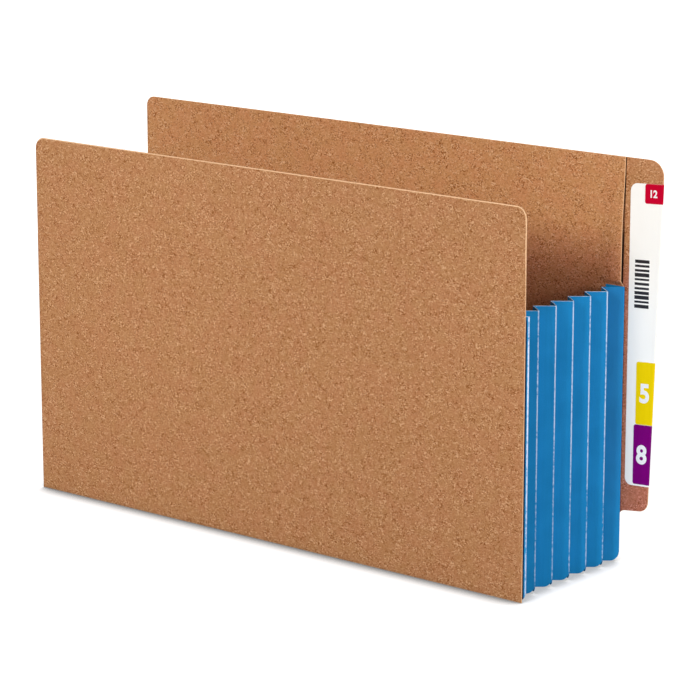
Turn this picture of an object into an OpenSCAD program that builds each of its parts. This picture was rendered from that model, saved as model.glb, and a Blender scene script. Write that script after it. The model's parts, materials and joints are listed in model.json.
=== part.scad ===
// Expanding file pocket for legal papers: board front and back panels, accordion gussets of folded
// paper at both ends, a bottom that folds up along its middle, a drop front and an end tab with labels.
// The pocket stands on the floor plane, front towards -Y, end tab towards +X.

/* [Panels] */
// Width of the front panel
front_width = 381.2; // [300:0.1:420]
// Height of the front panel with the drop front raised
front_height = 226.9; // [195:0.1:241]
// Height of the drop front's score line above the gusset's top
score_gap = 0.7; // [0.7:0.1:20]
// How far the front panel stands past the end tab's root
front_overhang = 3.4; // [0:0.1:10]
// How far the back panel is cut back from the end tab's root
ply_setback = 2; // [0:0.1:3]
// Height of the back panel and the end tab
back_height = 241.3; // [230:0.1:280]
// Distance between the panels' inner faces as the pocket stands
rest_gap = 100.8; // [30:0.1:118]
// Thickness of the panel board
board = 0.6; // [0.4:0.05:0.9]
// Radius of the drop front's top corners
front_corner = 7; // [2:0.5:15]
// Radius of the back panel's free top corner
back_corner = 6; // [2:0.5:15]

/* [Gussets] */
// Number of outward folds between the panels, at each end
pleats = 6; // [5:1:8]
// Width of one pleat face, fold to fold
pleat_width = 12.7; // [12:0.1:16]
// Width of the flap that is glued to a panel
flap_width = 12.7; // [8:0.1:13]
// How far the outward folds lie inside the end tab's root and the back panel's other edge
gusset_inset = 0.6; // [0.5:0.1:5]
// Height of the gusset paper
gusset_height = 164.9; // [140:0.1:185]
// Height of the gusset's foot above the floor
gusset_foot = 0.6; // [0.5:0.1:1]
// Thickness of the gusset paper
sheet = 0.4; // [0.25:0.05:0.6]
// Radius of the bottom corner at each outward fold
pleat_corner = 5; // [1:0.5:8]

/* [Bottom] */
// Height of the folds that join the bottom to the panels
bottom_fold_height = 1.2; // [1.1:0.1:4]
// Gap between the bottom's ends and the innermost gusset folds
bottom_end_gap = 1.2; // [0.5:0.1:5]

/* [End tab] */
// Width of the end tab at the top
tab_width = 24.9; // [23:0.1:32]
// How much narrower the end tab is at its foot
tab_taper = 6.6; // [0:0.1:8]
// Height of the end tab's foot at its root
tab_foot = 31.2; // [20:0.1:44]
// How much higher the end tab's foot is at its outer edge
tab_foot_rise = 2.2; // [0:0.1:4]
// Radius of the end tab's top corner
tab_top_corner = 9.5; // [4:0.5:14]
// Radius of the end tab's foot corner
tab_foot_corner = 6.5; // [2:0.5:9]
// Radius of the fillet where the end tab's foot meets the panel
tab_fillet = 5; // [1:0.5:7]

/* [Labels] */
// Thickness of one label
label_sheet = 0.12; // [0.08:0.01:0.2]
// Height of the carrier label's foot above the end tab's foot
carrier_lift = 16.4; // [8:0.1:20]
// Distance from the end tab's top down to the carrier label
carrier_drop = 14.7; // [14:0.1:25]
// Angle at which the labels' ends rise towards the tab's edge
label_tilt = 3.4; // [0:0.1:6]
// Distance from the end tab's root to the carrier label
carrier_inset = 2.2; // [1:0.1:6]
// Radius of the carrier label's corners
carrier_corner = 4.5; // [1:0.5:8]
// Height of the period label at the carrier label's top
period_height = 11.6; // [6:0.1:20]
// Distance from the end tab's root to the period label
period_inset = 12.2; // [8:0.1:15]
// Height of the lower colour label's foot above the carrier label's foot
colour_lift = 1; // [0.5:0.1:12]
// Height of the lower colour label
lower_colour_height = 36; // [20:0.1:40]
// Distance from the end tab's root to the lower colour label
lower_colour_inset = 7.7; // [6:0.1:10]
// Height of the upper colour label
upper_colour_height = 37.5; // [20:0.1:45]
// Distance from the end tab's root to the upper colour label
upper_colour_inset = 8.7; // [6:0.1:11]
// Radius of the colour labels' corners
colour_corner = 1.5; // [0.5:0.5:3]

/* [Fits] */
// Running clearance round each fold
fold_clearance = 0.05; // [0.03:0.01:0.1]
// How much smaller a fold's round is than the sheet is thick
fold_relief = 0.02; // [0.01:0.01:0.05]
// How far a cut runs past the piece it cuts
overrun = 1; // [0.5:0.5:2]

/* [Hidden] */
$fn = 48;
arc_steps = 8;
faces = 2 * pleats;

kraft = "#BA8459";
gusset_blue = "#2470B2";

// Gusset folds alternate between the sheet's two faces, so that the pleats stack flat
link = sqrt(pow(pleat_width, 2) + pow(sheet, 2));
link_lean = asin(sheet / link);
run = rest_gap - 2 * sheet;
pleat_angle = asin(run / (faces * link)) - link_lean;
fold_step = pleat_width * sin(pleat_angle) + sheet * cos(pleat_angle);
fold_depth = pleat_width * cos(pleat_angle) - sheet * sin(pleat_angle);
gusset_round = sheet - fold_relief;

// The bottom's two leaves span the same run, so that the panels stay parallel as the pocket opens
leaf_link = pleats * link;
leaf_width = sqrt(pow(leaf_link, 2) - pow(board, 2));
leaf_angle = 90 - pleat_angle - link_lean + asin(board / leaf_link);
crease_round = board - fold_relief;
edge_round = sheet - fold_clearance;

back_width = front_width - front_overhang;
ply_edge = back_width - ply_setback;
score_height = gusset_foot + gusset_height + score_gap;
leaf_inset = gusset_inset + pleat_width + sheet + bottom_end_gap;
leaf_length = back_width - 2 * leaf_inset;
back_face = board + rest_gap;
tab_face = back_face + board;
tab_foot_top = tab_foot + tab_foot_rise;
tab_slant = tab_taper / (back_height - tab_foot);
carrier_foot = tab_foot + carrier_lift;
carrier_top = back_height - carrier_drop;
period_foot = carrier_top - period_height;
colour_foot = carrier_foot + colour_lift;
upper_colour_foot = colour_foot + lower_colour_height;
overall_width = tab_edge(label_end(carrier_top, 2 * label_sheet)) + 2 * label_sheet;
overall_depth = tab_face + board + 2 * label_sheet;

function is_outward(i) = i % 2 == 0;
function fold_y(i) = board + sheet + i * fold_step;
function fold_inset(i) = is_outward(i) ? 0 : fold_depth;
function tab_edge(z) = back_width + tab_width - tab_slant * (back_height - z);
// Height of a label's end line above x, and where that line meets the tab's edge
function label_rise(x) = tan(label_tilt) * (x - back_width - carrier_inset);
function label_end(z, grow) = (z + label_rise(tab_edge(0) + grow)) / (1 - tan(label_tilt) * tab_slant);
function unit(v) = v / norm(v);
// Points along the arc that rounds a corner, whether it turns in or out
function corner_arc(before, corner, after, radius) =
    let(
        to_before = unit(before - corner),
        to_after = unit(after - corner),
        half_angle = acos(to_before * to_after) / 2,
        centre = corner + unit(to_before + to_after) * radius / sin(half_angle),
        first = corner + to_before * radius / tan(half_angle) - centre,
        last = corner + to_after * radius / tan(half_angle) - centre,
        sweep = 180 - 2 * half_angle
    )
    [for (t = [0:1 / arc_steps:1.001])
        centre + (first * sin(sweep * (1 - t)) + last * sin(sweep * t)) / sin(sweep)];

// Puts the middle of the pocket's footprint on the origin
module centred() {
    translate([-overall_width / 2, -overall_depth / 2, 0]) children();
}

// Stands a flat outline up in the XZ plane, with its front face at y and its thickness towards +Y
module upright(y, thickness) {
    translate([0, y + thickness, 0]) rotate([90, 0, 0]) linear_extrude(thickness) children();
}

// Round bar along X, from the origin
module bar_x(length, radius) {
    rotate([0, 90, 0]) cylinder(h = length, r = radius);
}

// What lies between a corner and the arc that rounds it
module corner_piece(before, corner, after, radius) {
    to_before = unit(before - corner);
    to_after = unit(after - corner);
    half_angle = acos(to_before * to_after) / 2;
    tangent = radius / tan(half_angle);
    centre = corner + unit(to_before + to_after) * radius / sin(half_angle);
    difference() {
        polygon([
            centre, corner + to_before * tangent,
            1.5 * corner - 0.5 * centre, corner + to_after * tangent
        ]);
        translate(centre) circle(radius);
    }
}

// Outline whose outer corners are rounded, each with its own radius
module rounded(points, radii) {
    count = len(points);
    difference() {
        polygon(points);
        for (i = [0:count - 1])
            if (radii[i] > 0)
                corner_piece(points[(i + count - 1) % count], points[i], points[(i + 1) % count], radii[i]);
    }
}

module front_panel() {
    color(kraft) centred() difference() {
        upright(0, board) square([front_width, score_height]);
        translate([-overrun, 0, score_height])
            bar_x(front_width + 2 * overrun, crease_round + fold_clearance);
    }
}

module drop_front() {
    flap = [[0, score_height], [front_width, score_height], [front_width, front_height], [0, front_height]];
    color(kraft) centred() {
        upright(0, board) rounded(flap, [0, 0, front_corner, front_corner]);
        intersection() {
            translate([0, 0, score_height]) bar_x(front_width, crease_round);
            translate([0, 0, score_height - board]) cube([front_width, board, 2 * board]);
        }
    }
}

module back_panel() {
    outline = [[0, 0], [ply_edge, 0], [ply_edge, back_height], [0, back_height]];
    color(kraft) centred() upright(back_face, board) rounded(outline, [0, 0, 0, back_corner]);
}

// Outer ply of the back, which runs on past the gusset as the end tab
module tab_panel() {
    root = [ply_edge, tab_foot];
    foot_end = [tab_edge(tab_foot_top), tab_foot_top];
    top_end = [tab_edge(back_height), back_height];
    fillet = corner_arc([ply_edge, 0], root, foot_end, tab_fillet);
    foot_round = corner_arc(root, foot_end, top_end, tab_foot_corner);
    outline = concat([top_end, [0, back_height], [0, 0], [ply_edge, 0]], fillet, foot_round);
    radii = concat([tab_top_corner, back_corner], [for (i = [3:len(outline)]) 0]);
    color(kraft) centred() upright(tab_face, board) rounded(outline, radii);
}

module bottom_rear_leaf() {
    color(kraft) centred() translate([leaf_inset, fold_y(faces), bottom_fold_height])
        rotate([-leaf_angle, 0, 0]) {
            translate([0, -leaf_width, -board]) cube([leaf_length, leaf_width, board]);
            bar_x(leaf_length, edge_round);
            translate([0, -leaf_width, -board]) bar_x(leaf_length, crease_round);
        }
}

module bottom_front_leaf() {
    color(kraft) centred() translate([leaf_inset, fold_y(0), bottom_fold_height])
        rotate([leaf_angle, 0, 0]) {
            difference() {
                translate([0, 0, -board]) cube([leaf_length, leaf_width, board]);
                translate([-overrun, leaf_width, -board])
                    bar_x(leaf_length + 2 * overrun, crease_round + fold_clearance);
            }
            bar_x(leaf_length, edge_round);
        }
}

// Draws a gusset piece with its outward folds on x = 0 and the pocket towards -X, for either end
module at_end(side) {
    color(gusset_blue) centred()
        translate([side > 0 ? back_width - gusset_inset : gusset_inset, 0, gusset_foot])
            mirror([side > 0 ? 0 : 1, 0, 0]) children();
}

// Flap glued to a panel, with the round of the first or last fold along its edge
module glue_flap(side, face, fold) {
    at_end(side) {
        translate([-flap_width, face, 0]) cube([flap_width, sheet, gusset_height]);
        translate([0, fold, 0]) cylinder(h = gusset_height, r = gusset_round);
    }
}

module front_flap(side) {
    glue_flap(side, board, fold_y(0));
}

module back_flap(side) {
    glue_flap(side, fold_y(faces), fold_y(faces));
}

// Pleat face i, counted from the front: round along its rear fold, cut back for the round at its front
module pleat(i, side) {
    turn = is_outward(i) ? -pleat_angle : pleat_angle;
    at_end(side) translate([-fold_inset(i), fold_y(i), 0])
        rotate([0, 0, turn]) mirror([is_outward(i) ? 1 : 0, 0, 0]) pleat_sheet(i);
}

module pleat_sheet(i) {
    last = i == faces - 1;
    outline = [[0, 0], [pleat_width, 0], [pleat_width, gusset_height], [0, gusset_height]];
    radii = is_outward(i) ? [pleat_corner, 0, 0, 0] : [0, pleat_corner, 0, 0];
    round_foot = is_outward(i) ? 0 : pleat_corner;
    difference() {
        union() {
            upright(0, sheet) rounded(outline, radii);
            if (!last)
                translate([pleat_width, sheet, round_foot])
                    cylinder(h = gusset_height - round_foot, r = gusset_round);
        }
        fold_cut(0, 0);
        if (last)
            fold_cut(pleat_width, sheet);
    }
}

// Space round a fold that belongs to the neighbouring face
module fold_cut(x, y) {
    translate([x, y, -overrun]) cylinder(h = gusset_height + 2 * overrun, r = gusset_round + fold_clearance);
}

// Label folded round the end tab's edge: layer 1 on the tab, layer 2 over the carrier label
module wrapped_label(inset, foot, top, corner, layer) {
    left = back_width + inset;
    grow = layer * label_sheet;
    under = grow - label_sheet;
    foot_end = label_end(foot, grow);
    top_end = label_end(top, grow);
    foot_left = [left, foot + label_rise(left)];
    foot_right = [tab_edge(foot_end) + grow, foot_end];
    top_right = [tab_edge(top_end) + grow, top_end];
    top_left = [left, top + label_rise(left)];
    foot_round = corner_arc(top_left, foot_left, foot_right, corner);
    top_round = corner_arc(top_right, top_left, foot_left, corner);
    outline = concat(foot_round, [foot_right, top_right], top_round);
    core = [
        [back_width, 0], [tab_edge(0) + under, 0],
        [tab_edge(back_height) + under, back_height], [back_width, back_height]
    ];
    centred() difference() {
        upright(tab_face - grow, board + 2 * grow) polygon(outline);
        upright(tab_face - under, board + 2 * under) polygon(core);
    }
}

module carrier_label() {
    color("white") wrapped_label(carrier_inset, carrier_foot, carrier_top, carrier_corner, 1);
}

module period_label() {
    color("#D00F2D") wrapped_label(period_inset, period_foot, carrier_top, colour_corner, 2);
}

module upper_colour_label() {
    top = upper_colour_foot + upper_colour_height;
    color("#ECCD0A") wrapped_label(upper_colour_inset, upper_colour_foot, top, colour_corner, 2);
}

module lower_colour_label() {
    color("#700573") wrapped_label(lower_colour_inset, colour_foot, upper_colour_foot, colour_corner, 2);
}

front_panel();
drop_front();
back_panel();
tab_panel();
bottom_rear_leaf();
bottom_front_leaf();
front_flap(1);  // right_front_flap
back_flap(1);  // right_back_flap
front_flap(-1);  // left_front_flap
back_flap(-1);  // left_back_flap
for (i = [0:faces - 1]) {
    pleat(i, 1);
    pleat(i, -1);
}
carrier_label();
period_label();
upper_colour_label();
lower_colour_label();
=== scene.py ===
import json
import math

import bmesh
import bpy
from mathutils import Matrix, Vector, geometry, noise


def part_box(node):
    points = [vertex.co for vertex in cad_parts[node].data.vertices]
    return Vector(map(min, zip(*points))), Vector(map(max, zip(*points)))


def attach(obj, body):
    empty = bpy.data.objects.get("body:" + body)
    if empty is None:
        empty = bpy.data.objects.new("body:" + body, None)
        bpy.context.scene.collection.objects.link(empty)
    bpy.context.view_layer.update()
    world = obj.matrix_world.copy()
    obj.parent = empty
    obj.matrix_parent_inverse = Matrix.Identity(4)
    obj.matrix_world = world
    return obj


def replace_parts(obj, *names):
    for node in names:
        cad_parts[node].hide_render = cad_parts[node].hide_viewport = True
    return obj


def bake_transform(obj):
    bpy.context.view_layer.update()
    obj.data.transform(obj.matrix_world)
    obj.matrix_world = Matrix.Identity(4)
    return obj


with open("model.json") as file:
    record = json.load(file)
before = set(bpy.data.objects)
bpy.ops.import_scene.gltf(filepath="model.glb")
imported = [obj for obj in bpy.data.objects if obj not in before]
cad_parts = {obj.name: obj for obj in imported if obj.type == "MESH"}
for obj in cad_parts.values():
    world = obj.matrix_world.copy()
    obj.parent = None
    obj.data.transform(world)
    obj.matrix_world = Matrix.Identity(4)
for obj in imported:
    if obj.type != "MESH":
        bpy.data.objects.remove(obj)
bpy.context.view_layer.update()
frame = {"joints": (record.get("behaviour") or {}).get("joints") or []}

# Expanding file pocket: kraft board panels, folded paper gussets, a bottom that folds up
# and labels on the end tab. Lengths in the settings are millimetres, the scene is in metres.
mm = 0.001
joints = {joint["name"]: joint for joint in frame["joints"]}
frontLow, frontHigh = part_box("front_panel")
dropLow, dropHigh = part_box("drop_front")
backLow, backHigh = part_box("back_panel")
tabLow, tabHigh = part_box("tab_panel")
boardThickness = frontHigh.y - frontLow.y

# Third sheet coordinate, which keeps the grain of every sheet and side apart
sheetSteps = {"board": 31, "side": 17, "sideMiddle": 8, "fold": 13, "label": 19}
boardSeeds = {"front": 1, "back": 2, "tab": 3}


def jointPoint(name):
    return Vector(joints[name]["pos_m"])


def paint(red, green, blue):
    # Screen colour, 0 to 255, as the linear colour that sockets take
    shares = (red / 255, green / 255, blue / 255)
    linear = [c / 12.92 if c <= 0.04045 else ((c + 0.055) / 1.055) ** 2.4 for c in shares]
    return (*linear, 1.0)


def smoothStep(low, high, value):
    t = min(1.0, max(0.0, (value - low) / (high - low)))
    return t * t * (3 - 2 * t)


def adjust(thing, **settings):
    for key, value in settings.items():
        setattr(thing, key, value)
    return thing


# Node helpers: a socket is linked, anything else is set as the input's own value
def feed(tree, value, socket):
    if isinstance(value, bpy.types.NodeSocket):
        tree.links.new(value, socket)
    else:
        socket.default_value = value


def addNode(tree, kind, inputs=None, **settings):
    node = adjust(tree.nodes.new(kind), **settings)
    for key, value in (inputs or {}).items():
        feed(tree, value, node.inputs[key])
    return node


def mathNode(operation):
    def calc(tree, first, second):
        return addNode(tree, "ShaderNodeMath", {0: first, 1: second}, operation=operation).outputs[0]

    return calc


plus, minus, times, over = map(mathNode, ("ADD", "SUBTRACT", "MULTIPLY", "DIVIDE"))
larger, lessThan, equals = map(mathNode, ("MAXIMUM", "LESS_THAN", "COMPARE"))
noiseSpan = (0.3, 0.7)  # where most values of a noise lie


def noiseValue(tree, point, scale, detail=1.0, roughness=0.5):
    inputs = {"Vector": point, "Scale": scale, "Detail": detail, "Roughness": roughness}
    return addNode(tree, "ShaderNodeTexNoise", inputs).outputs[0]


def stretched(tree, point, cell, turn=0.0):
    # The point measured in cells of a given width and height
    inputs = {"Vector": point, "Rotation": (0, 0, turn), "Scale": (1 / cell[0], 1 / cell[1], 1)}
    return addNode(tree, "ShaderNodeMapping", inputs).outputs[0]


def scatter(tree, point, scale):
    # A random value, 0 to 1, for each small cell, and the distance to the cell's middle
    cell = addNode(tree, "ShaderNodeTexVoronoi", {"Vector": point, "Scale": scale}).outputs
    return addNode(tree, "ShaderNodeSeparateColor", {0: cell["Color"]}).outputs[0], cell["Distance"]


def ramp(tree, value, low, high, toLow=0.0, toHigh=1.0):
    inputs = {"Value": value, "From Min": low, "From Max": high, "To Min": toLow, "To Max": toHigh}
    return addNode(tree, "ShaderNodeMapRange", inputs, interpolation_type="SMOOTHSTEP").outputs[0]


def mixColour(tree, factor, first, second, blend="MIX"):
    inputs = {0: factor, 6: first, 7: second}
    return addNode(tree, "ShaderNodeMix", inputs, data_type="RGBA", blend_type=blend).outputs[2]


def axes(tree, point):
    return addNode(tree, "ShaderNodeSeparateXYZ", {0: point}).outputs


def newTree(name, kind, inputs, outputs):
    # Inputs and outputs are labels listed by the kind of value
    tree = bpy.data.node_groups.new(name, kind)
    for direction, sockets in (("INPUT", inputs), ("OUTPUT", outputs)):
        for value, labels in sockets.items():
            for label in labels:
                tree.interface.new_socket(label, in_out=direction, socket_type="NodeSocket" + value)
    return tree, tree.nodes.new("NodeGroupInput").outputs, tree.nodes.new("NodeGroupOutput").inputs


def placeGroup(tree, group, inputs):
    return addNode(tree, "ShaderNodeGroup", inputs, node_tree=group).outputs


def attribute(tree, name, output):
    return addNode(tree, "ShaderNodeAttribute", attribute_name=name).outputs[output]


def newMaterial(name):
    material = bpy.data.materials.new(name)
    material.use_nodes = True
    tree = material.node_tree
    return material, tree, tree.nodes["Principled BSDF"].inputs


def finishShader(tree, shader, colour, roughness, height, look):
    feed(tree, colour, shader["Base Color"])
    feed(tree, roughness, shader["Roughness"])
    relief = {"Height": height, "Distance": look["relief"] * mm, "Strength": 1.0}
    feed(tree, addNode(tree, "ShaderNodeBump", relief).outputs[0], shader["Normal"])
    shader["Specular IOR Level"].default_value = look["specular"]


# Speckled kraft stock: patches of two tones, pale flecks, dark specks, calm areas and long fibres
fibreSizes = {
    "patch": 13, "patchSpan": (0.34, 0.66), "grain": 2.4, "grainPull": 0.06, "roughness": (0.82, 0.66),
    "calm": 5, "calmSpan": (0.36, 0.62), "calmShare": (0.5, 1.14),
    "paleCell": (0.95, 0.62), "paleTurn": 0.4, "darkCell": (0.7, 0.62), "darkTurn": 0.0, "fleckFrom": 0.55,
    "longCell": (5.5, 0.5), "longTurn": 0.5, "tallCell": (0.5, 6.5), "tallTurn": 0.35,
    "fibreFrom": 0.68, "fibreTo": 0.78, "fibreShare": 0.6, "fibreRise": 0.35,
    "loneDark": (7.0, 0.8), "lonePale": (8.5, 0.5), "loneChance": (0.3, 0.8),
    "loneReach": 0.55, "loneCore": 0.4,
}


def makeKraftFibre(sizes):
    inputs = {"Vector": ["Point"], "Float": ["Fleck Amount"],
              "Color": ["Warm Tone", "Yellow Tone", "Pale Fleck", "Dark Fleck"]}
    outputs = {"Color": ["Colour"], "Float": ["Height", "Roughness"]}
    group, given, result = newTree("kraftFibre", "ShaderNodeTree", inputs, outputs)
    point, amount, pale, dark = (given[key] for key in ("Point", "Fleck Amount", "Pale Fleck", "Dark Fleck"))
    patch = ramp(group, noiseValue(group, point, 1 / sizes["patch"]), *sizes["patchSpan"])
    colour = mixColour(group, patch, given["Warm Tone"], given["Yellow Tone"])
    grain = noiseValue(group, point, 1 / sizes["grain"])
    pull = times(group, minus(group, grain, 0.5), sizes["grainPull"])
    calm = noiseValue(group, point, 1 / sizes["calm"])
    calm = ramp(group, calm, *sizes["calmSpan"], *sizes["calmShare"])
    share = times(group, amount, calm)
    for kind, fleck, pulled in (("pale", pale, plus), ("dark", dark, minus)):
        spot = stretched(group, point, sizes[kind + "Cell"], sizes[kind + "Turn"])
        chance = pulled(group, scatter(group, spot, 1.0)[0], pull)
        mask = times(group, ramp(group, chance, sizes["fleckFrom"], 1.0), share)
        colour = mixColour(group, mask, colour, fleck)
    fibres = []
    for kind in ("long", "tall"):
        line = noiseValue(group, stretched(group, point, sizes[kind + "Cell"], sizes[kind + "Turn"]), 1.0)
        fibres.append(ramp(group, line, sizes["fibreFrom"], sizes["fibreTo"]))
    fibre = larger(group, *fibres)
    colour = mixColour(group, times(group, fibre, times(group, amount, sizes["fibreShare"])), colour, pale)
    for (cellSize, loneShare), fleck in ((sizes["loneDark"], dark), (sizes["lonePale"], pale)):
        chance, distance = scatter(group, point, 1 / cellSize)
        lone = times(group, ramp(group, chance, *sizes["loneChance"]), times(group, amount, loneShare))
        reach = sizes["loneReach"] / cellSize
        speck = ramp(group, distance, reach, sizes["loneCore"] * reach)
        colour = mixColour(group, times(group, speck, lone), colour, fleck)
    feed(group, colour, result["Colour"])
    feed(group, plus(group, grain, times(group, fibre, sizes["fibreRise"])), result["Height"])
    feed(group, ramp(group, grain, *noiseSpan, *sizes["roughness"]), result["Roughness"])
    return group


# Calm paper: fine tooth, slow clouds and streaks along the second sheet direction
paperSizes = {"cloud": 18, "streak": (1.6, 45), "toothShare": 0.4, "cloudShare": 0.4, "streakShare": 0.2}


def makePaperGrain(sizes):
    inputs = {"Vector": ["Point"], "Float": ["Tooth"]}
    group, given, result = newTree("paperGrain", "ShaderNodeTree", inputs, {"Float": ["Shade", "Height"]})
    point = given["Point"]
    tooth = noiseValue(group, point, given["Tooth"], 2.0, 0.6)
    cloud = noiseValue(group, point, 1 / sizes["cloud"], 2.0)
    streak = noiseValue(group, stretched(group, point, sizes["streak"]), 1.0, 2.0)
    shade = plus(group, times(group, tooth, sizes["toothShare"]), times(group, cloud, sizes["cloudShare"]))
    feed(group, plus(group, shade, times(group, streak, sizes["streakShare"])), result["Shade"])
    feed(group, tooth, result["Height"])
    return group


# Pale along a fold or an edge, where handling has rubbed it and, on the kraft boards' rims, also as a painted
# edge highlight: 1 on the line, broken up along it, 0 past its width
paleEdgeSizes = {"breaks": (3, 2.2), "slow": (60, 35), "slowShare": 0.7, "softness": 0.45}


def makePaleEdge(sizes):
    inputs = {"Vector": ["Point"], "Float": ["Distance", "Width", "Breaks", "Fade"]}
    group, given, result = newTree("paleEdge", "ShaderNodeTree", inputs, {"Float": ["Mask"]})
    point = given["Point"]
    breaks = noiseValue(group, stretched(group, point, sizes["breaks"]), 1.0, 2.0, 0.6)
    slow = noiseValue(group, stretched(group, point, sizes["slow"]), 1.0)
    keep = plus(group, breaks, times(group, minus(group, slow, 0.5), sizes["slowShare"]))
    keep = ramp(group, minus(group, keep, given["Breaks"]), 0.0, given["Fade"])
    width = times(group, given["Width"], plus(group, breaks, 0.5))
    near = over(group, minus(group, width, given["Distance"]), given["Width"])
    feed(group, times(group, ramp(group, near, 0.0, sizes["softness"]), keep), result["Mask"])
    return group


kraftFibre = makeKraftFibre(fibreSizes)
paperGrain = makePaperGrain(paperSizes)
paleEdge = makePaleEdge(paleEdgeSizes)


def paleEdgeMask(tree, point, width, breaks, fade):
    return placeGroup(tree, paleEdge, {
        "Point": point, "Distance": attribute(tree, "edgeDistance", "Fac"),
        "Width": width, "Breaks": breaks, "Fade": fade,
    })["Mask"]


# A pale rim along the sheet's edge: rubbed wear, and on the kraft boards also a painted edge highlight
def paleRim(tree, point, colour, pale, look):
    paleMask = paleEdgeMask(tree, point, look["rimWidth"], look["rimBreaks"], look["rimFade"])
    return mixColour(tree, times(tree, paleMask, look["rimShare"]), colour, pale)


# Kraft board, its pale cut edge and the side that faces in; the pale rim along the board's edges is rubbed
# wear and a painted edge highlight
kraftLook = {
    "warmTone": paint(183.5, 125.5, 82), "yellowTone": paint(181.5, 127.5, 81),
    "paleFleck": paint(224, 176, 132), "darkFleck": paint(128, 65, 0), "fleckAmount": 0.78,
    "rimPale": paint(244, 200, 156), "rimWidth": 0.7, "rimBreaks": 0.1, "rimFade": 0.12, "rimShare": 0.95,
    "relief": 0.02, "specular": 0.3,
}


def paintSeamShadow(tree, colour, across, up, inward, look):
    # Painted shadow in the narrow gap beside the inner ply's free edge
    below = times(tree, minus(tree, look["seamTop"], up), look["seamLean"])
    seamShadowMask = ramp(tree, plus(tree, across, below), *look["seamAcross"])
    seamShadowMask = times(tree, seamShadowMask, ramp(tree, up, *look["seamUp"]))
    loose = larger(tree, ramp(tree, up, *look["looseTop"]), ramp(tree, up, *look["looseFoot"]))
    return mixColour(tree, times(tree, times(tree, seamShadowMask, loose), inward), colour, look["seamShadow"])


def makeKraft(name, look):
    material, tree, shader = newMaterial(name)
    point = attribute(tree, "sheetPoint", "Vector")
    across, up, side = axes(tree, point)
    fibre = placeGroup(tree, kraftFibre, {
        "Point": point, "Warm Tone": look["warmTone"], "Yellow Tone": look["yellowTone"],
        "Pale Fleck": look["paleFleck"], "Dark Fleck": look["darkFleck"],
        "Fleck Amount": look["fleckAmount"],
    })
    colour = fibre["Colour"]
    if "paintedShadeAlong" in look:
        # Painted shade: the sheet's colour darkens slowly along it and towards its foot
        drift = plus(tree, ramp(tree, across, *look["paintedShadeAlong"]), ramp(tree, up, *look["paintedShadeDown"]))
        colour = mixColour(tree, drift, colour, paint(0, 0, 0))
    if "board" in look:
        # Painted shade: redder and darker down in the pocket, on the side that faces in
        sideLimit = boardSeeds[look["board"]] * sheetSteps["board"] + sheetSteps["sideMiddle"]
        inward = lessThan(tree, side, sideLimit)
        pocketShade = times(tree, ramp(tree, up, *look["pocketShadeUp"]), inward)
        colour = mixColour(tree, pocketShade, colour, look["pocketShadeTint"], "MULTIPLY")
        if "seamAcross" in look:
            colour = paintSeamShadow(tree, colour, across, up, inward, look)
    colour = paleRim(tree, point, colour, look["rimPale"], look)
    finishShader(tree, shader, colour, fibre["Roughness"], fibre["Height"], look)
    return material


# Board kraft with painted shade, darker along the sheet towards its right end and towards its foot
kraftBoard = makeKraft("kraftBoard", {
    **kraftLook, "paintedShadeAlong": (-160, 110, 0.0, 0.09), "paintedShadeDown": (120, 0, 0.0, 0.05),
})
# Inner ply kraft, its tones painted lighter than the board's as painted light for the dimmer inside of the
# pocket
kraftInnerBrightened = makeKraft("kraftInnerBrightened", {
    **kraftLook, "warmTone": paint(196.5, 133.5, 86), "yellowTone": paint(193.5, 135.5, 85),
    "board": "back", "pocketShadeTint": (1.0, 0.87, 0.98, 1.0), "pocketShadeUp": (206, 172),
})
plyReach = 0.9  # how far the inner ply's top leans over the tab
plyEdge = backHigh.x / mm + plyReach
# Tab kraft with painted shade, redder and darker towards the tab's foot, and a painted shadow in the gap
# beside the inner ply's free edge
kraftTab = makeKraft("kraftTab", {
    **kraftLook, "board": "tab", "pocketShadeTint": (1.0, 0.74, 1.02, 1.0), "pocketShadeUp": (192, 162),
    "seamAcross": (plyEdge + 0.3, plyEdge - 0.1), "seamUp": (160, 166), "seamShadow": paint(40, 18, 10),
    "seamTop": backHigh.z / mm, "seamLean": 0.014,
    "looseTop": (206, 222, 0.35, 1.0), "looseFoot": (208, 192),
})
# Cut edge faces: paler than the board, as cut fibres are, and paler still as a painted edge highlight
kraftCut = makeKraft("kraftCut", {
    **kraftLook, "warmTone": paint(232, 184, 144), "yellowTone": paint(226, 180, 134),
    "paleFleck": paint(246, 210, 176), "darkFleck": paint(190, 136, 98), "fleckAmount": 0.35, "rimShare": 0.0,
})

# Gusset paper, rubbed pale along its outward folds and worn most near the top, where hands take hold, with
# painted shade beside the outward folds and on the right end's last pleat
gussetLook = {
    "deepBlue": paint(14, 132, 192), "clearBlue": paint(20, 143, 206), "blueSpan": (0.36, 0.64),
    "foldShadeBlue": paint(10, 108, 164), "foldShadeWidth": 4.0, "foldShadeShare": 0.14,
    "rearShadeBlue": paint(34, 98, 152), "rearPleat": 12, "rearShadeUp": (10, 75, 0.12, 0.42),
    "rubbed": paint(206, 226, 250), "rubWidth": 0.32, "rubFade": 0.42, "wornUp": (20, 115),
    "breaks": (0.26, 0.1), "rubShare": (0.62, 0.95),
    "tooth": 0.5, "roughness": (0.72, 0.6), "relief": 0.03, "specular": 0.2,
}


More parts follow.
